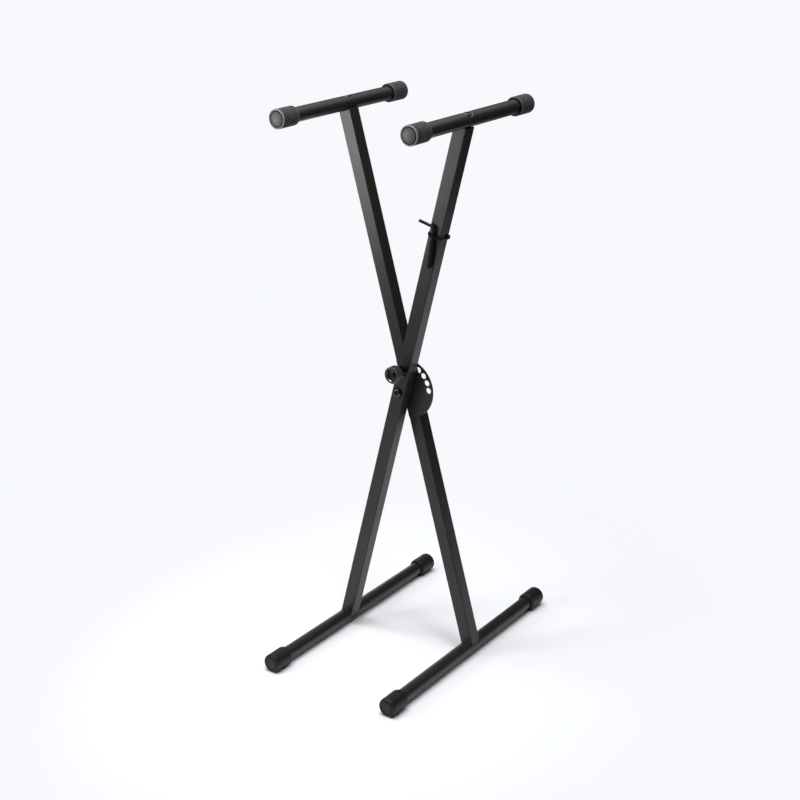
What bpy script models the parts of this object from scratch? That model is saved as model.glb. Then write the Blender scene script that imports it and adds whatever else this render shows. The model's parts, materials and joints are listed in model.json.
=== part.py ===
"""Folding x-style keyboard stand, built as the pieces that it is assembled from.

Metres, +Z up. The origin is on the floor, midway between the feet. X runs across the
spread of the legs, Y along the foot bars and arms, and the front leg is the one at -Y.
Each leg is laid out along its own +Z from the pivot, and its frame leans about Y.
"""
import bpy
import bmesh
from math import cos, sin, pi, radians, sqrt
from mathutils import Matrix, Vector

# Running clearance between solids that touch
GAP = 0.0003

# A turned piece's height points along -Y, towards the front, once it is laid over
TO_FRONT = (pi / 2, 0, 0)

# Stance: each leg leans this far from upright, and folds to the smaller angle
LEG_LEAN = radians(15)
FOLDED_ANGLE = radians(4.5)

# Square leg tubes, measured along the leg from the pivot to the bars' axes
LEG_SIDE = 0.025
LEG_CORNER = 0.002
LEG_WALL = 0.0015
LEG_LOWER = 0.4995
LEG_UPPER = 0.508
LEG_SPACING = 0.006
LEG_TOP_SETBACK = 0.0095

# Round foot bars and arms
FOOT_BAR_DIAMETER = 0.025
FOOT_BAR_WALL = 0.0015
FOOT_OVERALL = 0.502
ARM_DIAMETER = 0.025
ARM_WALL = 0.0015
ARM_OVERALL = 0.350

# Rubber caps: sleeves with a closed end and a relieved mouth, flattened a little where they bear
FOOT_CAP_DIAMETER = 0.034
FOOT_CAP_LENGTH = 0.0425
FOOT_CAP_END = 0.004
FOOT_CAP_EDGE = 0.004
FOOT_CAP_GROOVE = 0.0012
FOOT_CAP_DOME = 0.0003
ARM_CAP_DIAMETER = 0.033
ARM_CAP_LENGTH = 0.0425
ARM_CAP_END = 0.004
ARM_CAP_EDGE = 0.0010
ARM_CAP_GROOVE = 0.0008
ARM_CAP_DOME = 0.0016
CAP_LIP = 0.0016
CAP_GROOVE_DEPTH = 0.0012
CAP_RIM = 0.0014
CAP_MOUTH_WALL = 0.0022
CAP_MOUTH_DEPTH = 0.0025
BEARING_FLAT = 0.0003

# Screw that holds each arm in the top of its leg, in a dimple of the arm's wall
ARM_SCREW_DIAMETER = 0.008
ARM_SCREW_HEAD_DIAMETER = 0.0136
ARM_SCREW_HEAD_HEIGHT = 0.0036
ARM_SCREW_SOCKET = 0.005
ARM_SCREW_SOCKET_DEPTH = 0.0022
ARM_SCREW_GRIP = 0.016
DIMPLE_DIAMETER = 0.0195
DIMPLE_DEPTH = 0.0040
INSERT_LENGTH = 0.022
INSERT_CORNER = 0.0008

# Outline of a button head, as shares of its radius and its height
HEAD_CROWN = 0.55
HEAD_SHOULDER = 0.86
HEAD_SHOULDER_RISE = 0.62
HEAD_EDGE_RISE = 0.2

# Pivot: one bolt through a bush in each leg
PIVOT_BOLT_DIAMETER = 0.010
PIVOT_HEAD_DIAMETER = 0.0155
PIVOT_HEAD_HEIGHT = 0.0032
PIVOT_SOCKET = 0.006
PIVOT_SOCKET_DEPTH = 0.0022
PIVOT_RUNNING = 0.0002
BUSH_DIAMETER = 0.014
WASHER_DIAMETER = 0.018
WASHER_THICKNESS = 0.0015
SPACER_DIAMETER = 0.024
NUT_FLATS = 0.017
NUT_HEIGHT = 0.008
BOLT_TAIL = 0.002

# Lock plate on the rear leg: a D round the pivot with a hole for each height
PLATE_CHORD = 0.010
PLATE_THICKNESS = 0.0025
PLATE_CORNER = 0.004
PLATE_MARGIN = 0.0035
LOCK_RADIUS = 0.046
LOCK_HOLE_DIAMETER = 0.011
LOCK_STEP = radians(17.5)
LOCK_POSITIONS = 5

# Sprung lock pin on the front leg
PIN_DIAMETER = 0.009
PIN_TIP_CHAMFER = 0.0008
PIN_STANDOFF = 0.0010
PIN_LENGTH = 0.0137
PIN_COLLAR_CLEARANCE = 0.0004
PIN_COLLAR_LENGTH = 0.003
PIN_STEM_DIAMETER = 0.006
PIN_ENGAGE_TRAVEL = 0.0034
HOUSING_BOSS_DIAMETER = 0.020
HOUSING_BOSS_LENGTH = 0.015
HOUSING_SLEEVE_DIAMETER = 0.016
HOUSING_CHAMBER_DIAMETER = 0.013
HOUSING_GUIDE_CLEARANCE = 0.0003
PLUG_FLANGE = 0.0015
PLUG_NECK = 0.0035
SPRING_WIRE = 0.0012
SPRING_MEAN_DIAMETER = 0.0092
SPRING_TURNS = 7
KNOB_DIAMETER = 0.031
KNOB_LENGTH = 0.014
KNOB_FLUTES = 24
KNOB_FLUTE_DEPTH = 0.0007
KNOB_RECESS_DIAMETER = 0.022
KNOB_RECESS_DEPTH = 0.0045
KNOB_RECESS_DRAFT = 0.0020
KNOB_NUT_FLATS = 0.010
KNOB_NUT_HEIGHT = 0.003

# Hex key kept on the front leg: places along and across the leg's face
KEY_FLATS = 0.005
KEY_BEND_ACROSS = -0.0024
KEY_SHORT_ARM = 0.0302
KEY_LONG_ARM = 0.0707
KEY_SLANT = radians(6.5)
KEY_SHORT_RISE = radians(-0.5)
KEY_BEND_RADIUS = 0.005
SLEEVE_DIAMETER = 0.0075
SLEEVE_LENGTH = 0.0475
SLEEVE_END = 0.001
TIE_ALONG = 0.3045
TIE_TO_BEND = 0.0168
TIE_WIDTH = 0.0048
TIE_THICKNESS = 0.0012
TIE_HEAD_LENGTH = 0.0068
TIE_HEAD_WIDTH = 0.0062
TIE_HEAD_HEIGHT = 0.0038
TIE_HEAD_INSET = 0.001
TIE_SLACK = 0.0008
TIE_SLACK_INSET = 0.004

# Facets round each kind of piece
BAR_STEPS = 36
CAP_STEPS = 32
SMALL_STEPS = 24
CORNER_STEPS = 3
SPRING_STEPS = 8
BEND_STEPS = 6
FLUTE_STEPS = 4
WIRE_RESOLUTION = 1
SHARP_ANGLE = radians(35)

# Side of the cubes that cut the caps level
CUT_SIZE = 2.0

# Places that follow from the sizes above
foot_axis_height = FOOT_CAP_DIAMETER / 2 - BEARING_FLAT
pivot_height = foot_axis_height + LEG_LOWER * cos(LEG_LEAN)
arm_axis_height = pivot_height + LEG_UPPER * cos(LEG_LEAN)
leg_offset = (LEG_SIDE + LEG_SPACING) / 2
front_face = -leg_offset - LEG_SIDE / 2
front_back = -leg_offset + LEG_SIDE / 2
rear_face = leg_offset - LEG_SIDE / 2
rear_back = leg_offset + LEG_SIDE / 2
plate_back = rear_face - GAP
plate_front = plate_back - PLATE_THICKNESS
pin_tip = plate_front - PIN_STANDOFF
pin_shoulder = pin_tip - PIN_LENGTH
guide_shoulder = pin_shoulder + PIN_ENGAGE_TRAVEL + GAP
housing_front = front_face - HOUSING_BOSS_LENGTH
plug_front = housing_front - GAP - PLUG_FLANGE
knob_back = plug_front - PIN_ENGAGE_TRAVEL - GAP
knob_front = knob_back - KNOB_LENGTH
recess_floor = knob_front + KNOB_RECESS_DEPTH
plate_radius = LOCK_RADIUS + LOCK_HOLE_DIAMETER / 2 + PLATE_MARGIN
key_bend_along = TIE_ALONG + TIE_TO_BEND


def clear_scene():
    for obj in list(bpy.data.objects):
        bpy.data.objects.remove(obj, do_unlink=True)


def make_collection(name):
    collection = bpy.data.collections.new(name)
    bpy.context.scene.collection.children.link(collection)
    return collection


def make_material(name, colour, roughness, metallic):
    material = bpy.data.materials.new(name)
    material.use_nodes = True
    shader = material.node_tree.nodes["Principled BSDF"]
    shader.inputs["Base Color"].default_value = (*colour, 1.0)
    shader.inputs["Roughness"].default_value = roughness
    shader.inputs["Metallic"].default_value = metallic
    material.diffuse_color = (*colour, 1.0)
    return material


def make_frame(name, height, lean):
    """An empty on the pivot axis, which carries one leg's pieces."""
    frame = bpy.data.objects.new(name, None)
    frame.location = (0, 0, height)
    frame.rotation_euler = (0, lean, 0)
    parts.objects.link(frame)
    return frame


def put(obj, parent=None, location=(0, 0, 0), rotation=(0, 0, 0)):
    obj.parent = parent
    obj.location = location
    obj.rotation_euler = rotation
    return obj


def shade(mesh):
    mesh.shade_smooth()
    mesh.set_sharp_from_angle(angle=SHARP_ANGLE)


def baked(obj, name):
    """A mesh object made from what a curve or a modified mesh shows, with its seams welded."""
    graph = bpy.context.evaluated_depsgraph_get()
    mesh = bpy.data.meshes.new_from_object(obj.evaluated_get(graph))
    shape = bmesh.new()
    shape.from_mesh(mesh)
    bmesh.ops.remove_doubles(shape, verts=shape.verts, dist=0.000001)
    bmesh.ops.recalc_face_normals(shape, faces=shape.faces)
    shape.to_mesh(mesh)
    shape.free()
    place = obj.matrix_world.copy()
    bpy.data.objects.remove(obj, do_unlink=True)
    solid = bpy.data.objects.new(name, mesh)
    solid.matrix_world = place
    parts.objects.link(solid)
    shade(mesh)
    return solid


def turned(name, profile, steps, closed=False):
    """Turns (radius, height) points about Z: down the outer side, and back up a bore if closed."""
    mesh = bpy.data.meshes.new(name)
    points = [(radius, 0, height) for radius, height in profile]
    edges = [(i, i + 1) for i in range(len(points) - 1)]
    if closed:
        edges.append((len(points) - 1, 0))
    mesh.from_pydata(points, edges, [])
    draft = bpy.data.objects.new(name, mesh)
    parts.objects.link(draft)
    screw = draft.modifiers.new("turn", "SCREW")
    screw.steps = steps
    screw.render_steps = steps
    screw.use_merge_vertices = True
    screw.merge_threshold = 0.00001
    return baked(draft, name)


def ring(name, outer, inner, low, high, steps):
    """A plain turned ring or tube between two heights."""
    profile = [(outer, high), (outer, low), (inner, low), (inner, high)]
    return turned(name, profile, steps, closed=True)


def extruded(name, outlines, thickness):
    """Flat outlines, the later ones holes in the first, given a thickness about z = 0."""
    curve = bpy.data.curves.new(name, "CURVE")
    curve.dimensions = "2D"
    curve.fill_mode = "BOTH"
    curve.extrude = thickness / 2
    for outline in outlines:
        spline = curve.splines.new("POLY")
        spline.points.add(len(outline) - 1)
        for point, (x, y) in zip(spline.points, outline):
            point.co = (x, y, 0, 1)
        spline.use_cyclic_u = True
    draft = bpy.data.objects.new(name, curve)
    parts.objects.link(draft)
    return baked(draft, name)


def wire(name, points, diameter):
    curve = bpy.data.curves.new(name, "CURVE")
    curve.dimensions = "3D"
    curve.bevel_depth = diameter / 2
    curve.bevel_resolution = WIRE_RESOLUTION
    curve.use_fill_caps = True
    spline = curve.splines.new("POLY")
    spline.points.add(len(points) - 1)
    for point, place in zip(spline.points, points):
        point.co = (*place, 1)
    draft = bpy.data.objects.new(name, curve)
    parts.objects.link(draft)
    return baked(draft, name)


def circle(radius, steps, centre=(0, 0)):
    turns = [2 * pi * i / steps for i in range(steps)]
    return [(centre[0] + radius * cos(a), centre[1] + radius * sin(a)) for a in turns]


def rounded_square(side, radius):
    """Corner arcs of a square outline, anticlockwise from the +X +Y corner."""
    points = []
    reach = side / 2 - radius
    for quarter in range(4):
        middle = pi / 4 + quarter * pi / 2
        centre = (reach * sqrt(2) * cos(middle), reach * sqrt(2) * sin(middle))
        for i in range(CORNER_STEPS + 1):
            angle = quarter * pi / 2 + i * pi / 2 / CORNER_STEPS
            points.append((centre[0] + radius * cos(angle), centre[1] + radius * sin(angle)))
    return points


def hexagon(flats):
    return circle(flats / sqrt(3), 6)


def cutter(obj):
    parts.objects.unlink(obj)
    cutters.objects.link(obj)
    obj.hide_render = True
    obj.display_type = "WIRE"
    return obj


def box_cutter(name, size, location):
    bpy.ops.mesh.primitive_cube_add(size=1, location=location)
    obj = bpy.context.object
    obj.name = name
    obj.data.transform(Matrix.Diagonal((*size, 1)))
    for collection in list(obj.users_collection):
        collection.objects.unlink(obj)
    parts.objects.link(obj)
    return cutter(obj)


def rod_cutter(name, diameter, low, high, parent, location, rotation=(0, 0, 0)):
    profile = [(0, high), (diameter / 2, high), (diameter / 2, low), (0, low)]
    return cutter(put(turned(name, profile, SMALL_STEPS), parent, location, rotation))


def boolean(obj, tool, operation="DIFFERENCE"):
    modifier = obj.modifiers.new(tool.name, "BOOLEAN")
    modifier.operation = operation
    modifier.solver = "EXACT"
    modifier.object = tool
    return obj


def finish(obj, material):
    obj.data.materials.clear()
    obj.data.materials.append(material)
    return obj


def build_caps(prefix, frame, place, level, sizes):
    """The two rubber caps pushed on the ends of a bar along Y, each flattened at a level."""
    bar_diameter, overall, diameter, length, end_thickness, edge, groove_width, dome = sizes
    outer = diameter / 2
    bore = bar_diameter / 2 + GAP
    end = overall / 2
    mouth = end - length
    rim = outer - edge - CAP_RIM
    disc = rim - groove_width
    shoulder = end - dome
    groove = shoulder - CAP_GROOVE_DEPTH
    # A domed disc, a groove round it, and a rim whose outer edge is rounded
    profile = [(disc * share, end - dome * share ** 2) for share in (0, 0.5, 1)]
    profile += [(disc, groove), (rim, groove), (rim, shoulder), (outer - edge, shoulder)]
    profile += [(outer - edge * (1 - sin(pi / 4)), shoulder - edge * (1 - cos(pi / 4)))]
    profile += [(outer, shoulder - edge), (outer, mouth + CAP_LIP), (outer - CAP_LIP, mouth)]
    relief = outer - CAP_MOUTH_WALL
    seat = mouth + CAP_MOUTH_DEPTH
    profile += [(relief, mouth), (relief, seat), (bore, seat)]
    profile += [(bore, end - end_thickness), (0, end - end_thickness)]
    for side, turn in (("near", pi / 2), ("far", -pi / 2)):
        cap = turned(f"{prefix}_cap_{side}", profile, CAP_STEPS)
        finish(put(cap, frame, place, (turn, 0, 0)), rubber)
        boolean(cap, level)


def build_leg(prefix, lean, offset):
    """One leg: its square tube, foot bar, arm, the arm's screw and insert, and the bush."""
    frame = make_frame(f"{prefix}_leg_frame", pivot_height, lean)
    inner_corner = max(LEG_CORNER - LEG_WALL, INSERT_CORNER - GAP)
    outlines = [rounded_square(LEG_SIDE, LEG_CORNER)]
    outlines.append(rounded_square(LEG_SIDE - 2 * LEG_WALL, inner_corner))
    length = LEG_LOWER + LEG_UPPER - LEG_TOP_SETBACK
    leg = extruded(f"{prefix}_leg_tube", outlines, length)
    middle = (LEG_UPPER - LEG_TOP_SETBACK - LEG_LOWER) / 2
    finish(put(leg, frame, (0, offset, middle)), black_steel)

    foot_place = (0, 0, -LEG_LOWER)
    half = FOOT_OVERALL / 2 - FOOT_CAP_END - GAP
    radius = FOOT_BAR_DIAMETER / 2
    foot_bar = ring(f"{prefix}_foot_bar", radius, radius - FOOT_BAR_WALL, -half, half, BAR_STEPS)
    finish(put(foot_bar, frame, foot_place, TO_FRONT), black_steel)
    foot_sizes = (FOOT_BAR_DIAMETER, FOOT_OVERALL, FOOT_CAP_DIAMETER, FOOT_CAP_LENGTH, FOOT_CAP_END,
                  FOOT_CAP_EDGE, FOOT_CAP_GROOVE, FOOT_CAP_DOME)
    build_caps(f"{prefix}_foot", frame, foot_place, floor_cutter, foot_sizes)

    # The arm's upper wall is pressed into a dimple, whose floor keeps the wall's thickness
    arm_place = (0, 0, LEG_UPPER)
    screw_place = (0, offset, LEG_UPPER)
    half = ARM_OVERALL / 2 - ARM_CAP_END - GAP
    radius = ARM_DIAMETER / 2
    floor = radius - DIMPLE_DEPTH
    profile = [(0, half), (radius, half), (radius, -half), (0, -half)]
    arm = turned(f"{prefix}_arm_tube", profile, BAR_STEPS)
    finish(put(arm, frame, arm_place, TO_FRONT), black_steel)
    pocket = rod_cutter(f"{prefix}_dimple", DIMPLE_DIAMETER, floor, ARM_DIAMETER, frame, screw_place)
    back_diameter = DIMPLE_DIAMETER + 2 * ARM_WALL
    back = rod_cutter(f"{prefix}_dimple_back", back_diameter, floor - ARM_WALL, ARM_DIAMETER,
                      frame, screw_place)
    bore = rod_cutter(f"{prefix}_arm_bore", ARM_DIAMETER - 2 * ARM_WALL, -ARM_OVERALL, ARM_OVERALL,
                      frame, arm_place, TO_FRONT)
    hole = rod_cutter(f"{prefix}_screw_hole", ARM_SCREW_DIAMETER + 2 * GAP, -ARM_DIAMETER, ARM_DIAMETER,
                      frame, screw_place)
    boolean(bore, back)
    boolean(arm, bore)
    boolean(arm, pocket)
    boolean(arm, hole)
    arm_sizes = (ARM_DIAMETER, ARM_OVERALL, ARM_CAP_DIAMETER, ARM_CAP_LENGTH, ARM_CAP_END,
                 ARM_CAP_EDGE, ARM_CAP_GROOVE, ARM_CAP_DOME)
    build_caps(f"{prefix}_arm", frame, arm_place, bearing_cutter, arm_sizes)

    # Both ends of the leg are notched to sit round the bars
    reach = leg_offset + LEG_SIDE
    bars = (("foot", foot_place, FOOT_BAR_DIAMETER), ("arm", arm_place, ARM_DIAMETER))
    for kind, place, diameter in bars:
        notch = rod_cutter(f"{prefix}_{kind}_notch", diameter + 2 * GAP, -reach, reach,
                           frame, place, TO_FRONT)
        boolean(leg, notch)

    head_base = floor + GAP
    head_top = head_base + ARM_SCREW_HEAD_HEIGHT
    insert_top = -radius - 2 * GAP
    tip = insert_top - ARM_SCREW_GRIP
    screw = button_screw(f"{prefix}_arm_screw", ARM_SCREW_DIAMETER, ARM_SCREW_HEAD_DIAMETER,
                         head_top, head_base, tip, ARM_SCREW_SOCKET, ARM_SCREW_SOCKET_DEPTH,
                         frame, screw_place, (0, 0, 0))
    finish(screw, dark_zinc)
    inside = LEG_SIDE - 2 * LEG_WALL - 2 * GAP
    insert_outlines = [rounded_square(inside, INSERT_CORNER)]
    insert_outlines.append(circle(ARM_SCREW_DIAMETER / 2 + GAP, SMALL_STEPS))
    insert = extruded(f"{prefix}_arm_insert", insert_outlines, INSERT_LENGTH)
    insert_middle = LEG_UPPER + insert_top - INSERT_LENGTH / 2
    finish(put(insert, frame, (0, offset, insert_middle)), zinc)

    # A bush pressed through the leg runs on the pivot bolt
    bush_hole = rod_cutter(f"{prefix}_bush_hole", BUSH_DIAMETER + 2 * GAP, -LEG_SIDE, LEG_SIDE,
                           frame, (0, offset, 0), TO_FRONT)
    boolean(leg, bush_hole)
    bore_radius = PIVOT_BOLT_DIAMETER / 2 + PIVOT_RUNNING
    bush = ring(f"{prefix}_pivot_bush", BUSH_DIAMETER / 2, bore_radius, -LEG_SIDE / 2, LEG_SIDE / 2,
                SMALL_STEPS)
    finish(put(bush, frame, (0, offset, 0), TO_FRONT), zinc)
    return frame, leg


def button_screw(name, diameter, head_diameter, head_top, head_base, tip, socket, depth,
                 parent, place, rotation):
    """A round-headed socket screw whose height is measured from its own place."""
    head = head_diameter / 2
    height = head_top - head_base
    profile = [(0, head_top), (head * HEAD_CROWN, head_top)]
    profile += [(head * HEAD_SHOULDER, head_base + height * HEAD_SHOULDER_RISE)]
    profile += [(head, head_base + height * HEAD_EDGE_RISE)]
    profile += [(head, head_base), (diameter / 2, head_base), (diameter / 2, tip), (0, tip)]
    screw = put(turned(name, profile, SMALL_STEPS), parent, place, rotation)
    key_way = extruded(f"{name}_socket", [hexagon(socket)], 2 * depth)
    key_way.data.transform(Matrix.Translation((0, 0, head_top)))
    cutter(put(key_way, parent, place, rotation))
    return boolean(screw, key_way)


def build_pivot():
    """The bolt, washers, spacer and nut that both legs turn on."""
    place = (0, 0, pivot_height)
    shaft = PIVOT_BOLT_DIAMETER / 2 + PIVOT_RUNNING
    washer_front = -front_face + GAP
    washer_rear = -rear_back - GAP
    washer_radius = WASHER_DIAMETER / 2
    front = ring("pivot_washer_front", washer_radius, shaft, washer_front,
                 washer_front + WASHER_THICKNESS, SMALL_STEPS)
    rear = ring("pivot_washer_rear", washer_radius, shaft, washer_rear - WASHER_THICKNESS,
                washer_rear, SMALL_STEPS)
    spacer = ring("pivot_spacer", SPACER_DIAMETER / 2, shaft, -plate_front + GAP,
                  -front_back - GAP, SMALL_STEPS)
    nut_front = washer_rear - WASHER_THICKNESS - GAP
    nut_back = nut_front - NUT_HEIGHT
    head_base = washer_front + WASHER_THICKNESS + GAP
    head_top = head_base + PIVOT_HEAD_HEIGHT
    bolt = button_screw("pivot_bolt", PIVOT_BOLT_DIAMETER, PIVOT_HEAD_DIAMETER, head_top, head_base,
                        nut_back - BOLT_TAIL, PIVOT_SOCKET, PIVOT_SOCKET_DEPTH, None, place, TO_FRONT)
    nut = extruded("pivot_nut", [hexagon(NUT_FLATS), circle(shaft, SMALL_STEPS)], NUT_HEIGHT)
    nut.data.transform(Matrix.Translation((0, 0, (nut_front + nut_back) / 2)))
    for obj in (front, bolt):
        finish(obj, dark_zinc)
    for obj in (rear, nut):
        finish(obj, zinc)
    for obj in (front, rear, spacer, nut):
        put(obj, None, place, TO_FRONT)
    finish(spacer, nylon)


def plate_outline():
    """A D round the pivot: an arc, closed by a chord beside the leg, with rounded corners."""
    centre_x = -PLATE_CHORD + PLATE_CORNER
    centre_y = sqrt((plate_radius - PLATE_CORNER) ** 2 - centre_x ** 2)
    corner = Vector((centre_x, centre_y))
    join = corner.angle_signed(Vector((1, 0)))
    points = []
    arc_steps = BAR_STEPS
    for i in range(arc_steps + 1):
        angle = -join + 2 * join * i / arc_steps
        points.append((plate_radius * cos(angle), plate_radius * sin(angle)))
    for i in range(1, CORNER_STEPS + 1):
        angle = join + (pi - join) * i / CORNER_STEPS
        points.append((centre_x + PLATE_CORNER * cos(angle), centre_y + PLATE_CORNER * sin(angle)))
    for i in range(CORNER_STEPS):
        angle = pi + (pi - join) * i / CORNER_STEPS
        points.append((centre_x + PLATE_CORNER * cos(angle), -centre_y + PLATE_CORNER * sin(angle)))
    return points


def build_plate(frame):
    """The lock plate, whose holes stand at the legs' folded angle and at each height's angle."""
    angles = [FOLDED_ANGLE]
    angles += [2 * LEG_LEAN + i * LOCK_STEP for i in range(LOCK_POSITIONS)]
    outlines = [plate_outline(), circle(PIVOT_BOLT_DIAMETER / 2 + PIVOT_RUNNING, SMALL_STEPS)]
    for angle in angles:
        centre = (LOCK_RADIUS * sin(angle), LOCK_RADIUS * cos(angle))
        outlines.append(circle(LOCK_HOLE_DIAMETER / 2, SMALL_STEPS, centre))
    plate = extruded("lock_plate", outlines, PLATE_THICKNESS)
    middle = (plate_front + plate_back) / 2
    finish(put(plate, frame, (0, middle, 0), TO_FRONT), black_steel)


def build_lock(frame, leg):
    """Housing, plug, spring, pin and knob on one axis, square to the front leg's face."""
    place = (0, 0, LOCK_RADIUS)
    hole = rod_cutter("housing_hole", HOUSING_SLEEVE_DIAMETER + 2 * GAP, -LEG_SIDE, LEG_SIDE,
                      frame, (0, -leg_offset, LOCK_RADIUS), TO_FRONT)
    boolean(leg, hole)
    boss = HOUSING_BOSS_DIAMETER / 2
    sleeve = HOUSING_SLEEVE_DIAMETER / 2
    chamber = HOUSING_CHAMBER_DIAMETER / 2
    guide = PIN_DIAMETER / 2 + HOUSING_GUIDE_CLEARANCE
    seat = -front_face + GAP
    rear_end = -front_back
    profile = [(boss, -housing_front), (boss, seat), (sleeve, seat), (sleeve, rear_end)]
    profile += [(guide, rear_end), (guide, -guide_shoulder), (chamber, -guide_shoulder)]
    profile += [(chamber, -housing_front)]
    housing = turned("lock_housing", profile, SMALL_STEPS, closed=True)
    finish(put(housing, frame, place, TO_FRONT), dark_zinc)

    stem = PIN_STEM_DIAMETER / 2
    neck = chamber - GAP
    flange_back = -housing_front + GAP
    neck_end = -housing_front - PLUG_NECK
    profile = [(boss, -plug_front), (boss, flange_back), (neck, flange_back), (neck, neck_end)]
    profile += [(stem + GAP, neck_end), (stem + GAP, -plug_front)]
    plug = turned("lock_housing_plug", profile, SMALL_STEPS, closed=True)
    finish(put(plug, frame, place, TO_FRONT), zinc)

    pin = PIN_DIAMETER / 2
    collar = chamber - PIN_COLLAR_CLEARANCE
    nut_front = -recess_floor + GAP + KNOB_NUT_HEIGHT
    profile = [(0, nut_front), (stem, nut_front), (stem, -pin_shoulder + PIN_COLLAR_LENGTH)]
    profile += [(collar, -pin_shoulder + PIN_COLLAR_LENGTH), (collar, -pin_shoulder)]
    profile += [(pin, -pin_shoulder), (pin, -pin_tip + PIN_TIP_CHAMFER)]
    profile += [(pin - PIN_TIP_CHAMFER, -pin_tip), (0, -pin_tip)]
    finish(put(turned("lock_pin", profile, SMALL_STEPS), frame, place, TO_FRONT), dark_zinc)

    spring_low = -pin_shoulder + PIN_COLLAR_LENGTH + GAP + SPRING_WIRE / 2
    spring_high = neck_end - GAP - SPRING_WIRE / 2
    finish(put(coil_spring(spring_low, spring_high), frame, place, TO_FRONT), zinc)

    outline = []
    samples = KNOB_FLUTES * FLUTE_STEPS
    for i in range(samples):
        angle = 2 * pi * i / samples
        radius = KNOB_DIAMETER / 2 - KNOB_FLUTE_DEPTH * (1 - cos(KNOB_FLUTES * angle)) / 2
        outline.append((radius * cos(angle), radius * sin(angle)))
    knob = extruded("lock_knob", [outline, circle(stem + GAP, SMALL_STEPS)], KNOB_LENGTH)
    knob.data.transform(Matrix.Translation((0, 0, -(knob_front + knob_back) / 2)))
    finish(put(knob, frame, place, TO_FRONT), plastic)
    dish = KNOB_RECESS_DIAMETER / 2
    profile = [(0, KNOB_LENGTH - knob_front), (dish, KNOB_LENGTH - knob_front), (dish, -knob_front)]
    profile += [(dish - KNOB_RECESS_DRAFT, -recess_floor), (0, -recess_floor)]
    recess = cutter(put(turned("knob_recess", profile, SMALL_STEPS), frame, place, TO_FRONT))
    boolean(knob, recess)
    nut_outlines = [hexagon(KNOB_NUT_FLATS), circle(stem + GAP, SMALL_STEPS)]
    nut = extruded("lock_knob_nut", nut_outlines, KNOB_NUT_HEIGHT)
    nut.data.transform(Matrix.Translation((0, 0, -recess_floor + GAP + KNOB_NUT_HEIGHT / 2)))
    finish(put(nut, frame, place, TO_FRONT), dark_zinc)


def coil_spring(low, high):
    """The lock's compression spring, whose turns climb evenly from the collar to the plug."""
    steps = SPRING_TURNS * SPRING_STEPS
    points = []
    for i in range(steps + 1):
        angle = 2 * pi * SPRING_TURNS * i / steps
        height = low + (high - low) * i / steps
        points.append((SPRING_MEAN_DIAMETER / 2 * cos(angle), SPRING_MEAN_DIAMETER / 2 * sin(angle), height))
    return wire("lock_spring", points, SPRING_WIRE)


def build_key(frame):
    """A hex key in a plastic sleeve, held on the leg's face by a cable tie."""
    depth = front_face - GAP - SLEEVE_DIAMETER / 2
    along = Vector((sin(KEY_SLANT), 0, -cos(KEY_SLANT)))
    across = Vector((-cos(KEY_SHORT_RISE), 0, sin(KEY_SHORT_RISE)))
    corner = Vector((KEY_BEND_ACROSS, depth, key_bend_along))
    # The bend is an arc that meets both arms
    inner = across.angle(along) / 2
    tangent = KEY_BEND_RADIUS / (sin(inner) / cos(inner))
    centre = corner + (across + along).normalized() * (KEY_BEND_RADIUS / sin(inner))
    start = (corner + across * tangent - centre).normalized()
    stop = (corner + along * tangent - centre).normalized()
    points = [corner + across * KEY_SHORT_ARM]
    for i in range(BEND_STEPS + 1):
        points.append(centre + KEY_BEND_RADIUS * start.slerp(stop, i / BEND_STEPS))
    points.append(corner + along * KEY_LONG_ARM)
    diameter = KEY_FLATS * 2 / sqrt(3)
    key = wire("hex_key", points, diameter)
    finish(put(key, frame), dark_zinc)

    end = corner + along * (KEY_LONG_ARM + GAP + SLEEVE_END)
    outer = SLEEVE_DIAMETER / 2
    inner_radius = diameter / 2 + GAP
    profile = [(0, SLEEVE_END), (inner_radius, SLEEVE_END), (inner_radius, SLEEVE_LENGTH)]
    profile += [(outer, SLEEVE_LENGTH), (outer, 0), (0, 0)]
    sleeve = turned("hex_key_sleeve", profile, SMALL_STEPS)
    finish(put(sleeve, frame, end, (0, -KEY_SLANT, 0)), plastic)

    # The tie goes round the leg and the key as a taut band, with its head beside the leg's far edge
    key_at_tie = (corner.z - TIE_ALONG) / cos(KEY_SLANT)
    key_centre = corner + along * key_at_tie
    band = taut_band("cable_tie", key_centre, diameter / 2, GAP + TIE_THICKNESS, TIE_WIDTH)
    hollow = cutter(taut_band("tie_inside", key_centre, diameter / 2, GAP, 2 * TIE_WIDTH))
    for obj in (band, hollow):
        put(obj, frame, (0, 0, TIE_ALONG))
    head_across = LEG_SIDE / 2 + GAP + TIE_HEAD_HEIGHT / 2
    head_depth = front_back - TIE_HEAD_INSET - TIE_HEAD_LENGTH / 2
    head_size = (TIE_HEAD_HEIGHT, TIE_HEAD_LENGTH, TIE_HEAD_WIDTH)
    head = box_cutter("tie_head", head_size, (0, 0, 0))
    put(head, frame, (head_across, head_depth, TIE_ALONG))
    boolean(band, head, "UNION")
    boolean(band, hollow)
    finish(band, plastic)


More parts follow.
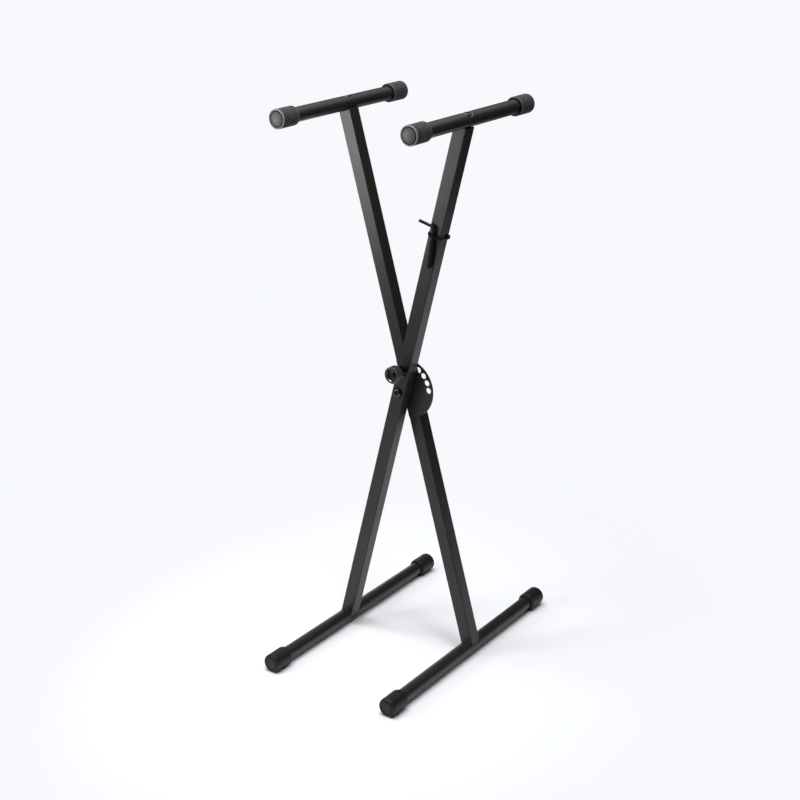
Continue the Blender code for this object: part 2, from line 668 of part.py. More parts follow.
def taut_band(name, key_centre, key_radius, offset, width):
    """The convex outline round the leg and the key, grown by an offset, slack at one corner."""
    shape = bmesh.new()
    outline = rounded_square(LEG_SIDE + 2 * offset, LEG_CORNER + offset)
    leg_points = [(x, y - leg_offset) for x, y in outline]
    key_points = circle(key_radius + offset, SMALL_STEPS, (key_centre.x, key_centre.y))
    slack_place = (LEG_CORNER - LEG_SIDE / 2 - TIE_SLACK, front_face + TIE_SLACK_INSET)
    slack_points = circle(LEG_CORNER + offset, SMALL_STEPS, slack_place)
    for x, y in leg_points + key_points + slack_points:
        for height in (-width / 2, width / 2):
            shape.verts.new((x, y, height))
    hull = bmesh.ops.convex_hull(shape, input=shape.verts)
    loose = [item for item in hull["geom_interior"] if isinstance(item, bmesh.types.BMVert)]
    bmesh.ops.delete(shape, geom=loose, context="VERTS")
    mesh = bpy.data.meshes.new(name)
    shape.to_mesh(mesh)
    shape.free()
    obj = bpy.data.objects.new(name, mesh)
    parts.objects.link(obj)
    return obj


clear_scene()
parts = make_collection("x_keyboard_stand")
cutters = make_collection("cutters")
black_steel = make_material("black_steel", (0.035, 0.035, 0.037), 0.42, 0.0)
rubber = make_material("rubber", (0.03, 0.03, 0.03), 0.75, 0.0)
plastic = make_material("plastic", (0.02, 0.02, 0.02), 0.5, 0.0)
nylon = make_material("nylon", (0.05, 0.05, 0.05), 0.6, 0.0)
zinc = make_material("zinc", (0.55, 0.55, 0.56), 0.35, 1.0)
dark_zinc = make_material("dark_zinc", (0.06, 0.06, 0.065), 0.4, 0.6)

floor_cutter = box_cutter("floor_level", (CUT_SIZE, CUT_SIZE, CUT_SIZE), (0, 0, -CUT_SIZE / 2))
bearing_height = arm_axis_height + ARM_CAP_DIAMETER / 2 - BEARING_FLAT
bearing_cutter = box_cutter("bearing_level", (CUT_SIZE, CUT_SIZE, CUT_SIZE),
                            (0, 0, bearing_height + CUT_SIZE / 2))

front_frame, front_leg = build_leg("front", LEG_LEAN, -leg_offset)
rear_frame, rear_leg = build_leg("rear", -LEG_LEAN, leg_offset)
build_plate(rear_frame)
build_pivot()
build_lock(front_frame, front_leg)
build_key(front_frame)
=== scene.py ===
"""Looks of a folding x-style keyboard stand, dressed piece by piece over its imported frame."""

import json
from math import atan2, cos, hypot, pi, radians, sin, sqrt, tan

import bmesh
import bpy
from mathutils import Matrix, Vector


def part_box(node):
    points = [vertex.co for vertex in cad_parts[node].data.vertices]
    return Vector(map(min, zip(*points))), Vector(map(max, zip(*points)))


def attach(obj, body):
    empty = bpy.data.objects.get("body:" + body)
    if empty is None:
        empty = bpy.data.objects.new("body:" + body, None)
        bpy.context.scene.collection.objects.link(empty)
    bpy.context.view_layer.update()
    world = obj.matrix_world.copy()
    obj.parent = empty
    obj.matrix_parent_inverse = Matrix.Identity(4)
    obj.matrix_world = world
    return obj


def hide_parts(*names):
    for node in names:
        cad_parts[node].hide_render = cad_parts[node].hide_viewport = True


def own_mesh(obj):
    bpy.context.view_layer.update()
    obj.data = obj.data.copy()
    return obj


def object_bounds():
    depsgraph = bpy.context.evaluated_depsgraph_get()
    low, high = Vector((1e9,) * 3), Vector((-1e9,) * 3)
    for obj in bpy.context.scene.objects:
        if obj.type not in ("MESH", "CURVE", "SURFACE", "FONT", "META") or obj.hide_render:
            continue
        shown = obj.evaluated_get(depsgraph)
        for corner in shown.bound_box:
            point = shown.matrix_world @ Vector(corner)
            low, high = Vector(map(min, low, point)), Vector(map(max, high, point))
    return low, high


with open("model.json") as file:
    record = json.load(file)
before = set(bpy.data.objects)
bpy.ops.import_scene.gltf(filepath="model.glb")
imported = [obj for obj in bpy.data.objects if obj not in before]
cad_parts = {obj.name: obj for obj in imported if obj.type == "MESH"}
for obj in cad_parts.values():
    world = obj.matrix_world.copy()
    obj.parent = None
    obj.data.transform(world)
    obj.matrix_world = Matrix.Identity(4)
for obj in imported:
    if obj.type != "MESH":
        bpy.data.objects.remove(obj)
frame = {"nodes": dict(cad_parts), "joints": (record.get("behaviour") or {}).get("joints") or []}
cad_box = [list(corner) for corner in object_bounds()]


# Studio: a pale sweep under an even white ceiling, a strip of light overhead and two weak panels at
# the left. Near the feet the floor is lit and keeps the stand's shadow. Further out camera, mirror
# and clear rays see the backdrop's own even colour. A ring of black felt darkens what metal mirrors.
backdrop_colour = (0.930, 0.947, 0.973, 1)
ceiling_strength = 1.45
lit_reach = 0.30
even_reach = 0.62
lit_outline = (1, 0.75, 0)
floor_radius = 14
card_distance = 1.38
card_foot = 0.004
card_height = 1.75


class Socket:
    """A shader socket that takes part in Python expressions, which add its Math nodes."""

    def __init__(self, tree, link=None):
        self.tree = tree
        self.link = link

    def node(self, kind, settings, inputs, output=0):
        """Adds a node, sets it and its sockets, and gives one of its outputs."""
        made = self.tree.nodes.new(kind)
        for name, value in settings.items():
            setattr(made, name, value)
        for name, value in inputs.items():
            if isinstance(value, Socket):
                self.tree.links.new(value.link, made.inputs[name])
            else:
                made.inputs[name].default_value = value
        return Socket(self.tree, made.outputs[output]) if made.outputs else None

    def maths(self, operation, first, second):
        return self.node("ShaderNodeMath", {"operation": operation}, {0: first, 1: second})

    def __add__(self, other):
        return self.maths("ADD", self, other)

    def __sub__(self, other):
        return self.maths("SUBTRACT", self, other)

    def __rsub__(self, other):
        return self.maths("SUBTRACT", other, self)

    def __mul__(self, other):
        return self.maths("MULTIPLY", self, other)

    __radd__ = __add__
    __rmul__ = __mul__

    def seen_directly(self):
        """1 for camera, mirror and clear rays, and 0 for the light that falls on things."""
        seen = [self.node("ShaderNodeLightPath", {}, {}, f"Is {ray} Ray")
                for ray in ("Camera", "Glossy", "Transmission")]
        return seen[0] + seen[1] + seen[2]

    def step(self, low, high):
        """Rises smoothly from 0 at the low value to 1 at the high one."""
        limits = {"Value": self, "From Min": low, "From Max": high}
        return self.node("ShaderNodeMapRange", {"interpolation_type": "SMOOTHSTEP"}, limits)

    def place(self):
        return self.node("ShaderNodeTexCoord", {}, {}, "Object")

    def vector(self, operation, other=None):
        """A Vector Math node on this vector alone, or on it and another one."""
        inputs = {0: self} if other is None else {0: self, 1: other}
        return self.node("ShaderNodeVectorMath", {"operation": operation}, inputs)

    def length(self):
        return self.node("ShaderNodeVectorMath", {"operation": "LENGTH"}, {0: self}, "Value")


bpy.ops.object.select_all(action="DESELECT")
bpy.ops.mesh.primitive_circle_add(vertices=96, radius=floor_radius, fill_type="NGON")
floor = bpy.context.object
floor.name = "floor"
sweep = bpy.data.materials.new("floor_sweep")
sweep.use_nodes = True
sweep.node_tree.nodes.clear()
start = Socket(sweep.node_tree)
lit = start.node("ShaderNodeBsdfDiffuse", {}, {"Color": backdrop_colour})
even = start.node("ShaderNodeEmission", {}, {"Color": backdrop_colour, "Strength": 1.0})
outwards = start.place().vector("MULTIPLY", lit_outline)
past_the_stand = outwards.length().step(lit_reach, even_reach)
seen_even = past_the_stand * start.seen_directly()
shown = start.node("ShaderNodeMixShader", {}, {0: seen_even, 1: lit, 2: even})
start.node("ShaderNodeOutputMaterial", {}, {"Surface": shown})
floor.data.materials.append(sweep)

bpy.ops.mesh.primitive_cylinder_add(vertices=48, radius=card_distance, depth=card_height,
                                    end_fill_type="NOTHING",
                                    location=(0, 0, card_foot + card_height / 2))
cards = bpy.context.object
cards.name = "dark_cards"
cards.visible_camera = False
felt = bpy.data.materials.new("black_felt")
felt.use_nodes = True
felt.node_tree.nodes["Principled BSDF"].inputs["Base Color"].default_value = (0.01, 0.01, 0.01, 1)
felt.node_tree.nodes["Principled BSDF"].inputs["Roughness"].default_value = 1.0
cards.data.materials.append(felt)

world = bpy.data.worlds.new("studio")
bpy.context.scene.world = world
world.use_nodes = True
world.node_tree.nodes.clear()
start = Socket(world.node_tree)
ceiling = start.node("ShaderNodeBackground", {}, {"Color": (1, 1, 1, 1), "Strength": ceiling_strength})
even = start.node("ShaderNodeBackground", {}, {"Color": backdrop_colour, "Strength": 1.0})
shown = start.node("ShaderNodeMixShader", {}, {0: start.seen_directly(), 1: ceiling, 2: even})
start.node("ShaderNodeOutputWorld", {}, {"Surface": shown})


def soft_box(name, location, target, width, depth, power):
    """An area lamp that faces a point and isn't seen itself."""
    facing = (Vector(target) - Vector(location)).to_track_quat("-Z", "Y")
    bpy.ops.object.light_add(type="AREA", location=location, rotation=facing.to_euler())
    lamp = bpy.context.object
    lamp.name = name
    lamp.data.shape = "RECTANGLE"
    lamp.data.size = width
    lamp.data.size_y = depth
    lamp.data.energy = power
    lamp.visible_camera = False


soft_box("overhead_strip", location=(0, -0.28, 2.4), target=(0, -0.1, 0),
         width=1.7, depth=0.35, power=30)
soft_box("front_left_panel", location=(-0.86, -1.0, 0.72), target=(0, 0, 0.95),
         width=0.42, depth=0.42, power=6.6)
soft_box("back_left_panel", location=(-0.9, 0.9, 0.45), target=(0, 0, 0.7),
         width=0.5, depth=0.5, power=1.5)

bpy.context.scene.view_settings.view_transform = "Standard"


# Camera: a long lens from the front right, a little above the stand, where the photograph was taken.
# Its place, turn and lens were solved from the straight edges of the legs, bars and caps.
camera_place = (1.45865, -2.04234, 1.42655)
camera_yaw = radians(35.8217)
camera_pitch = radians(20.7247)
camera_roll = radians(-0.6166)
camera_lens = 67.80

camera_turn = Matrix.Rotation(camera_yaw, 3, "Z") @ Matrix.Rotation(pi / 2 - camera_pitch, 3, "X")
camera_turn = camera_turn @ Matrix.Rotation(camera_roll, 3, "Z")
bpy.ops.object.camera_add(location=camera_place, rotation=camera_turn.to_euler())
camera = bpy.context.object
camera.data.sensor_width = 36
camera.data.lens = camera_lens
bpy.context.scene.camera = camera


# Legs: two square steel tubes, saddled at both ends to sit round the bars and drilled for the pivot.
# The front one is drilled again for the lock's housing. They are welded to the foot bars, then
# powder coated satin black, which leaves a fine orange peel and rounds the corners.
leg_corner = 0.002
leg_wall = 0.0015
leg_setback = 0.0095
leg_saddle_radius = 0.0127
leg_weld_radius = 0.01245
bush_hole_radius = 0.0073
housing_hole_radius = 0.0083
lock_radius = 0.046
drill_length = 0.2


def middle(node):
    """The middle of a node's box."""
    low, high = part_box(node)
    return (low + high) / 2


pivot = Vector(frame["joints"][0]["pos_m"])
to_foot = middle("front_foot_bar") - pivot
to_arm = middle("front_arm_tube") - pivot
lean = atan2(to_arm.x, to_arm.z)
leg_lower = hypot(to_foot.x, to_foot.z)
leg_upper = hypot(to_arm.x, to_arm.z)
leg_near, leg_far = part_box("front_leg_tube")
leg_side = leg_far.y - leg_near.y
leg_offset = -(leg_near.y + leg_far.y) / 2
sides = (("front", 1), ("rear", -1))


def surface(name, even):
    """A material with one Principled shader, whose even values are set on its own sockets."""
    made = bpy.data.materials.new(name)
    made.use_nodes = True
    shader = made.node_tree.nodes["Principled BSDF"]
    for socket, value in even.items():
        shader.inputs[socket].default_value = value
    return made, shader, Socket(made.node_tree)


def noise(place, scale, detail=2):
    return place.node("ShaderNodeTexNoise", {}, {"Vector": place, "Scale": scale, "Detail": detail})


def between(mask, low, high):
    """A colour that goes from the low one to the high one with a mask."""
    return mask.node("ShaderNodeMix", {"data_type": "RGBA"}, {"Factor": mask, 6: low, 7: high}, 2)


def bump(height, distance, strength):
    relief = {"Height": height, "Distance": distance, "Strength": strength}
    return height.node("ShaderNodeBump", {}, relief)


def feed(shader, socket, value):
    value.tree.links.new(value.link, shader.inputs[socket])


def powder_coat():
    """Satin black powder coat: fine orange peel, with a slow drift in depth and sheen."""
    made, shader, start = surface("black_powder_coat", {"IOR": 1.5, "Specular IOR Level": 0.4})
    place = start.place()
    drift = noise(place, 9, 3)
    peel = noise(place, 1300)
    grit = noise(place, 4200)
    feed(shader, "Base Color", between(drift, (0.0130, 0.0118, 0.0102, 1), (0.0205, 0.0190, 0.0170, 1)))
    feed(shader, "Roughness", 0.28 + drift * 0.08 + grit * 0.06)
    feed(shader, "Normal", bump(peel + grit * 0.4, 0.00008, 0.7))
    return made


def only(obj):
    """Makes one object the selected and active one."""
    if bpy.context.object and bpy.context.object.mode != "OBJECT":
        bpy.ops.object.mode_set(mode="OBJECT")
    bpy.ops.object.select_all(action="DESELECT")
    obj.select_set(True)
    bpy.context.view_layer.objects.active = obj


def edit(obj):
    """Opens an object in edit mode with all of it selected."""
    only(obj)
    bpy.ops.object.mode_set(mode="EDIT")
    bpy.ops.mesh.select_mode(type="VERT")
    bpy.ops.mesh.select_all(action="SELECT")


def pick(kind, test):
    """Selects the vertices, edges or faces of the mesh in edit mode that pass a test."""
    bpy.ops.mesh.select_mode(type=kind)
    bpy.ops.mesh.select_all(action="DESELECT")
    shape = bmesh.from_edit_mesh(bpy.context.object.data)
    for item in {"VERT": shape.verts, "EDGE": shape.edges, "FACE": shape.faces}[kind]:
        item.select_set(bool(test(item)))
    shape.select_flush_mode()
    bmesh.update_edit_mesh(bpy.context.object.data)


def face_outwards():
    bpy.ops.mesh.select_all(action="SELECT")
    bpy.ops.mesh.normals_make_consistent(inside=False)


def open_both_ends():
    """Takes the top and the bottom off the upright shape in edit mode."""
    pick("FACE", lambda face: abs(face.normal.z) > 0.9)
    bpy.ops.mesh.delete(type="ONLY_FACE")
    face_outwards()


def apply(obj, kind, **settings):
    """Adds a modifier, sets it and applies it."""
    only(obj)
    modifier = obj.modifiers.new(kind.lower(), kind)
    for name, value in settings.items():
        setattr(modifier, name, value)
    bpy.ops.object.modifier_apply(modifier=modifier.name)


def rod(radius, length, place, turn=(pi / 2, 0, 0), steps=96):
    """A round cutting tool, laid along Y unless it is turned another way."""
    bpy.ops.object.select_all(action="DESELECT")
    bpy.ops.mesh.primitive_cylinder_add(vertices=steps, radius=radius, depth=length,
                                        location=place, rotation=turn)
    return bpy.context.object


def cut(obj, tool, operation="DIFFERENCE"):
    """Cuts a piece with a tool, which is then thrown away."""
    apply(obj, "BOOLEAN", object=tool, operation=operation, solver="EXACT")
    bpy.data.objects.remove(tool)


def soften(obj, width, angle=30, segments=3):
    """Rounds the sharp edges of a piece."""
    apply(obj, "BEVEL", width=width, segments=segments, limit_method="ANGLE",
          angle_limit=radians(angle), use_clamp_overlap=True, harden_normals=False)


def settle(obj, place=(0, 0, 0), turn=(0, 0, 0)):
    """Turns and moves a piece, and keeps its place in its mesh."""
    only(obj)
    obj.location = place
    obj.rotation_euler = turn
    bpy.ops.object.transform_apply(location=True, rotation=True, scale=True)
    return obj


def lean_over(obj, side):
    """Leans a piece that was drawn along an upright leg about the pivot."""
    return settle(obj, pivot, (0, side * lean, 0))


def dress(obj, finish, body, node):
    """Gives a piece its finish and its body, in place of a node."""
    only(obj)
    bpy.ops.object.shade_smooth_by_angle(angle=radians(35))
    apply(obj, "WEIGHTED_NORMAL", keep_sharp=True)
    obj.name = f"{node}_finished"
    obj.data.name = obj.name
    obj.data.materials.clear()
    obj.data.materials.append(finish)
    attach(obj, body)
    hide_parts(node)
    return obj


coat = powder_coat()
for name, side in sides:
    bpy.ops.object.select_all(action="DESELECT")
    bpy.ops.mesh.primitive_plane_add(size=leg_side)
    leg = bpy.context.object
    edit(leg)
    bpy.ops.mesh.bevel(offset=leg_corner, segments=6, affect="VERTICES")
    bpy.ops.mesh.select_all(action="SELECT")
    leg_length = leg_lower + leg_upper - leg_setback
    bpy.ops.mesh.extrude_region_move(TRANSFORM_OT_translate={"value": (0, 0, leg_length)})
    open_both_ends()
    bpy.ops.transform.translate(value=(0, -side * leg_offset, -leg_lower))
    apply(leg, "SOLIDIFY", thickness=leg_wall, offset=-1, use_even_offset=True)
    cut(leg, rod(leg_weld_radius, drill_length, (0, 0, -leg_lower)))
    cut(leg, rod(leg_saddle_radius, drill_length, (0, 0, leg_upper)))
    cut(leg, rod(bush_hole_radius, drill_length, (0, 0, 0)))
    if name == "front":
        cut(leg, rod(housing_hole_radius, leg_side * 2, (0, -leg_offset, lock_radius)))
    dress(lean_over(leg, side), coat, f"{name}_leg", f"{name}_leg_tube")


# Weld: a fillet bead run by hand all round the foot of each leg, where its saddle meets the bar.
# Its ripples still show through the powder coat.
weld_radius = 0.0011
weld_ripples = 46
weld_swell = 0.13
weld_steps = 8
bar_radius = 0.0125


def wire(name, points, radius, swell=None, closed=False):
    """A round wire through a list of points, made a mesh. It may swell from point to point."""
    bpy.ops.object.select_all(action="DESELECT")
    bpy.ops.curve.primitive_nurbs_path_add()
    obj = bpy.context.object
    obj.name = name
    curve = obj.data
    curve.splines.clear()
    curve.bevel_depth = radius
    curve.bevel_resolution = 3
    curve.use_fill_caps = not closed
    spline = curve.splines.new("POLY")
    spline.points.add(len(points) - 1)
    for i, place in enumerate(points):
        spline.points[i].co = (*place, 1)
        spline.points[i].radius = swell(i) if swell else 1
    spline.use_cyclic_u = closed
    only(obj)
    bpy.ops.object.convert(target="MESH")
    edit(obj)
    bpy.ops.mesh.remove_doubles(threshold=0.000001)
    face_outwards()
    bpy.ops.object.mode_set(mode="OBJECT")
    return obj


def square_outline(side, corner, count):
    """Points spaced evenly round a square with round corners."""
    straight = side - 2 * corner
    quarter = straight + corner * pi / 2
    reach = side / 2 - corner
    points = []
    for i in range(count):
        turn, along = divmod(4 * quarter * i / count, quarter)
        if along < straight:
            place = Vector((side / 2, along - straight / 2, 0))
        else:
            angle = (along - straight) / corner
            place = Vector((reach + corner * cos(angle), reach + corner * sin(angle), 0))
        place.rotate(Matrix.Rotation(turn * pi / 2, 3, "Z"))
        points.append(place)
    return points


for name, side in sides:
    outline = square_outline(leg_side, leg_corner, weld_ripples * weld_steps)
    path = []
    for point in outline:
        rise = sqrt(max(bar_radius ** 2 - point.x ** 2, 0))
        path.append(Vector((point.x, point.y - side * leg_offset, rise - leg_lower)))
    weld = wire(f"{name}_foot_weld", path, weld_radius,
                lambda i: 1 + weld_swell * abs(sin(pi * i / weld_steps)), closed=True)
    lean_over(weld, side)
    bpy.ops.object.shade_smooth_by_angle(angle=radians(60))
    weld.data.materials.append(coat)
    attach(weld, f"{name}_leg")


# Foot bars: round steel tube, welded across the bottom of each leg and coated with it.
# Their open ends stop short inside the rubber caps.
bar_wall = 0.0015
bar_edge = 0.0003
for name, side in sides:
    low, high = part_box(f"{name}_foot_bar")
    bpy.ops.object.select_all(action="DESELECT")
    bpy.ops.mesh.primitive_cylinder_add(vertices=96, radius=bar_radius, depth=high.y - low.y,
                                        end_fill_type="NOTHING")
    bar = bpy.context.object
    edit(bar)
    bpy.ops.mesh.subdivide(number_cuts=1)
    apply(bar, "SOLIDIFY", thickness=bar_wall, offset=-1)
    soften(bar, bar_edge, segments=2)
    settle(bar, (0, 0, -leg_lower), (pi / 2, 0, 0))
    dress(lean_over(bar, side), coat, f"{name}_leg", f"{name}_foot_bar")


# Arms: the same round tube, held in the saddle at the top of each leg by one screw from above.
# The upper wall is pressed down into a round dimple, so that the screw's head sits below the crown.
dimple_floor = 0.0085
dimple_flat = 0.0080
dimple_rim = 0.0110
dimple_margin = 0.001
dimple_steps = 44
screw_hole_radius = 0.0043
upright = (0, 0, 0)
for name, side in sides:
    low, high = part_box(f"{name}_arm_tube")
    dimple_y = -side * leg_offset
    half_width = dimple_rim + dimple_margin
    across = [2 * half_width * i / dimple_steps for i in range(dimple_steps + 1)]
    stations = [low.y] + [dimple_y - half_width + step for step in across] + [high.y]
    bpy.ops.object.select_all(action="DESELECT")
    bpy.ops.mesh.primitive_circle_add(vertices=128, radius=bar_radius, rotation=(pi / 2, 0, 0))
    arm = settle(bpy.context.object, (0, low.y, 0), (pi / 2, 0, 0))
    edit(arm)
    for before, after in zip(stations, stations[1:]):
        bpy.ops.mesh.extrude_region_move(TRANSFORM_OT_translate={"value": (0, after - before, 0)})
    face_outwards()
    bpy.ops.object.mode_set(mode="OBJECT")
    for vert in arm.data.vertices:
        reach = hypot(vert.co.x, vert.co.y - dimple_y)
        share = min(max((dimple_rim - reach) / (dimple_rim - dimple_flat), 0), 1)
        share = share * share * (3 - 2 * share)
        if vert.co.z > dimple_floor:
            vert.co.z += (dimple_floor - vert.co.z) * share
    apply(arm, "SOLIDIFY", thickness=bar_wall, offset=-1)
    cut(arm, rod(screw_hole_radius, drill_length, (0, dimple_y, 0), upright))
    settle(arm, (0, 0, leg_upper))
    dress(lean_over(arm, side), coat, f"{name}_leg", f"{name}_arm_tube")


# Arm caps: soft rubber sleeves pushed on the ends of the arms, where the instrument rests on them.
# Moulded with fine ribs along the grip, a groove round a domed end and a relieved mouth, and worn
# flat by a hair on top.
arm_cap_radius = 0.0165
arm_cap_edge = 0.0010
arm_cap_ribs = 34
arm_cap_rib_depth = 0.0011
arm_cap_rib_wall = 0.00022
arm_cap_rib_inset = 0.0006
arm_cap_rib_run_out = 0.0030
dome_radius = 0.0124
dome_drop = 0.0016
dome_groove = 0.0014
dome_groove_depth = 0.0016
dome_groove_draft = 0.0001
dome_groove_lip = 0.0003
cap_bore_radius = 0.0128
cap_end_wall = 0.004
cap_lip = 0.0016
cap_mouth_wall = 0.0022
cap_mouth_depth = 0.0025
cap_mouth_draft = 0.0003
# Where the painted shade on the arm caps' grey discs begins.
disc_shade_start = 0.004
finish_fade = 0.0003
pole = 0.00001


def dull_black(name, dark, light, roughness, grain, gloss):
    """A black finish with no metal in it, such as rubber or paint: faintly mottled and grained."""
    made, shader, start = surface(name, {"IOR": 1.5, "Specular IOR Level": gloss})
    place = start.place()
    mottle = noise(place, 60, 4)
    fine = noise(place, 1700)
    feed(shader, "Base Color", between(mottle, dark, light))
    feed(shader, "Roughness", roughness + mottle * 0.12)
    feed(shader, "Normal", bump(fine + mottle * 0.5, grain, 0.8))
    return made


def arc(centre_radius, centre_height, radius, start, stop, steps):
    """(radius, height) pairs along an arc, its angles measured from straight outwards."""
    turns = [start + (stop - start) * i / steps for i in range(steps + 1)]
    return [(centre_radius + radius * cos(a), centre_height + radius * sin(a)) for a in turns]


def turn_on_lathe(name, rings, steps):
    """Draws the first ring of a turned shape and extrudes it up its Z axis through the others."""
    radius, height = rings[0]
    bpy.ops.object.select_all(action="DESELECT")
    bpy.ops.mesh.primitive_circle_add(vertices=steps, radius=radius)
    obj = bpy.context.object
    obj.name = name
    edit(obj)
    bpy.ops.transform.translate(value=(0, 0, height))
    for next_radius, next_height in rings[1:]:
        bpy.ops.mesh.extrude_region_move(TRANSFORM_OT_translate={"value": (0, 0, next_height - height)})
        scale = next_radius / radius
        bpy.ops.transform.resize(value=(scale, scale, 1), center_override=(0, 0, next_height))
        radius = next_radius
        height = next_height
    bpy.ops.mesh.select_all(action="SELECT")
    bpy.ops.mesh.remove_doubles(threshold=0.00003)
    face_outwards()
    bpy.ops.object.mode_set(mode="OBJECT")
    return obj


def sleeve_rings(outside, end, mouth, outer):
    """The end's rings, then down the outside of a cap, in at its mouth and up its bore."""
    rings = list(outside)
    rings += [(outer, mouth + cap_lip)]
    rings += arc(outer - cap_lip, mouth + cap_lip, cap_lip, 0, -pi / 2, 4)[1:]
    relief = outer - cap_mouth_wall
    rings += [(relief, mouth), (relief - cap_mouth_draft, mouth + cap_mouth_depth)]
    rings += [(cap_bore_radius, mouth + cap_mouth_depth), (cap_bore_radius, end - cap_end_wall)]
    return rings + [(pole, end - cap_end_wall)]


def push_on(template, name, kind, side, finish, height):
    """Puts a copy of a cap on both ends of a bar and flattens it where it bears."""
    for end, turn in (("near", pi / 2), ("far", -pi / 2)):
        only(template)
        bpy.ops.object.duplicate(linked=False)
        cap = settle(bpy.context.object, (0, 0, 0), (turn, 0, 0))
        lean_over(settle(cap, (0, 0, height)), side)
        level = cad_box[1][2] if height > 0 else cad_box[0][2]
        edit(cap)
        bpy.ops.mesh.bisect(plane_co=(0, 0, level), plane_no=(0, 0, 1 if height > 0 else -1),
                            use_fill=True, clear_outer=True, threshold=0.000001)
        bpy.ops.object.mode_set(mode="OBJECT")
        dress(cap, finish, f"{name}_leg", f"{name}_{kind}_cap_{end}")


arm_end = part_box("front_arm_cap_far")[1].y
arm_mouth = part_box("front_arm_cap_far")[0].y
dome_sphere = (dome_radius ** 2 + dome_drop ** 2) / (2 * dome_drop)
dome_angle = atan2(dome_radius, dome_sphere - dome_drop)
dome = arc(0, arm_end - dome_sphere, dome_sphere, pi / 2, pi / 2 - dome_angle, 8)
rings = [(max(radius, pole), height) for radius, height in dome]
shoulder = arm_end - dome_drop
groove_floor = shoulder - dome_groove_depth
dome_rim = dome_radius + dome_groove
rings += [(dome_radius + dome_groove_draft, groove_floor), (dome_rim, groove_floor)]
rings += [(dome_rim + dome_groove_draft, shoulder - dome_groove_lip)]
rings += [(dome_rim + dome_groove_draft + dome_groove_lip, shoulder)]
rings += arc(arm_cap_radius - arm_cap_edge, shoulder - arm_cap_edge, arm_cap_edge, pi / 2, 0, 5)
rib_start = shoulder - arm_cap_edge - arm_cap_rib_inset
rib_stop = arm_mouth + arm_cap_rib_run_out
rings += [(arm_cap_radius, rib_start), (arm_cap_radius, rib_stop)]
rings = sleeve_rings(rings, arm_end, arm_mouth, arm_cap_radius)
arm_cap = turn_on_lathe("arm_cap", rings, arm_cap_ribs * 2)
edit(arm_cap)


def in_a_groove(face):
    """Every other facet of the grip."""
    place = face.calc_center_median()
    turn = atan2(place.y, place.x) / (2 * pi) * arm_cap_ribs * 2
    on_grip = rib_stop < place.z < rib_start and hypot(place.x, place.y) > arm_cap_radius * 0.98
    return on_grip and int(turn + arm_cap_ribs * 4) % 2 == 0


pick("FACE", in_a_groove)
bpy.ops.mesh.inset(thickness=arm_cap_rib_wall, depth=-arm_cap_rib_depth, use_individual=True)
bpy.ops.object.mode_set(mode="OBJECT")


def reach_from(place, axis):
    """How far a point is from an axis that runs along Y."""
    return place.vector("SUBTRACT", tuple(axis)).vector("MULTIPLY", (1, 0, 1)).length()


def grip_rubber():
    """Ribbed black rubber, with painted shade in its grooves, painted highlights on its ridges and on
    the rim round its end, and a smooth grey disc with painted shade towards its edge.
    """
    made, shader, start = surface("ribbed_rubber", {"IOR": 1.5, "Specular IOR Level": 0.4})
    place = start.place()
    folded = place.vector("ABSOLUTE")
    reach = reach_from(folded, arm_axis)
    # Painted shade in the grooves between the ribs and a painted highlight on their ridges, mottled.
    ridge_highlight_groove_shade = reach.step(arm_cap_radius - arm_cap_rib_depth, arm_cap_radius - 0.0001)
    disc = 1 - reach.step(dome_radius - finish_fade, dome_radius)
    # A pale ring on the rim round the end groove is a painted highlight; the same mask makes that rim
    # smoother.
    rim_highlight = reach.step(dome_rim, dome_rim + finish_fade)
    # Painted shade: the disc's colour darkens from this radius out to its edge, as a domed disc's
    # shading would.
    disc_edge_shade = 1 - reach.step(disc_shade_start, dome_radius) * 0.55
    outwards = folded.vector("MULTIPLY", (0, 1, 0)).length()
    rim_highlight = rim_highlight * outwards.step(rib_start, rib_start + finish_fade)
    mottle = noise(place, 60, 4)
    fine = noise(place, 1700)
    grip = between(ridge_highlight_groove_shade * (0.6 + mottle * 0.8), (0.007, 0.007, 0.007, 1), (0.072, 0.072, 0.072, 1))
    grain = noise(place, 420, 3)
    # The disc: grey with a random grain, and painted shade towards its edge.
    disc_grain_and_shade = between(grain * disc_edge_shade, (0.045, 0.045, 0.045, 1), (0.210, 0.210, 0.210, 1))
    grip_with_rim_highlight = between(rim_highlight, grip, (0.200, 0.200, 0.200, 1))
    feed(shader, "Base Color", between(disc, grip_with_rim_highlight, disc_grain_and_shade))
    feed(shader, "Roughness", 0.52 + mottle * 0.12 - disc * 0.14 - rim_highlight * 0.14)
    feed(shader, "Normal", bump(fine + mottle * 0.5, 0.00010, 0.8))
    return made


arm_axis = Vector((abs(to_arm.x), 0, pivot.z + to_arm.z))
cap_rubber = grip_rubber()
for name, side in sides:
    push_on(arm_cap, name, "arm", side, cap_rubber, leg_upper)
bpy.data.objects.remove(arm_cap)


# Foot caps: thicker, plain rubber sleeves on the ends of the foot bars, which stand on the floor.
# Moulded with a heavy round rim about a flat end, and flat by a hair underneath.
foot_cap_radius = 0.017
foot_cap_edge = 0.0042
foot_cap_mouth_radius = 0.0162
foot_cap_waist = 0.002
foot_cap_waist_height = 0.004
foot_disc = 0.0106
foot_disc_drop = 0.0003
foot_groove = (0.0005, 0.0014, 0.0020)
foot_groove_depth = 0.0013
foot_rim_drop = 0.0001
foot_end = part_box("front_foot_cap_far")[1].y
foot_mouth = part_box("front_foot_cap_far")[0].y
groove_inside, groove_outside, groove_rim = (foot_disc + step for step in foot_groove)
groove_floor = foot_end - foot_groove_depth
rings = [(pole, foot_end - foot_disc_drop), (foot_disc, foot_end - foot_disc_drop)]
rings += [(groove_inside, groove_floor), (groove_outside, groove_floor)]
rings += [(groove_rim, foot_end - foot_rim_drop)]
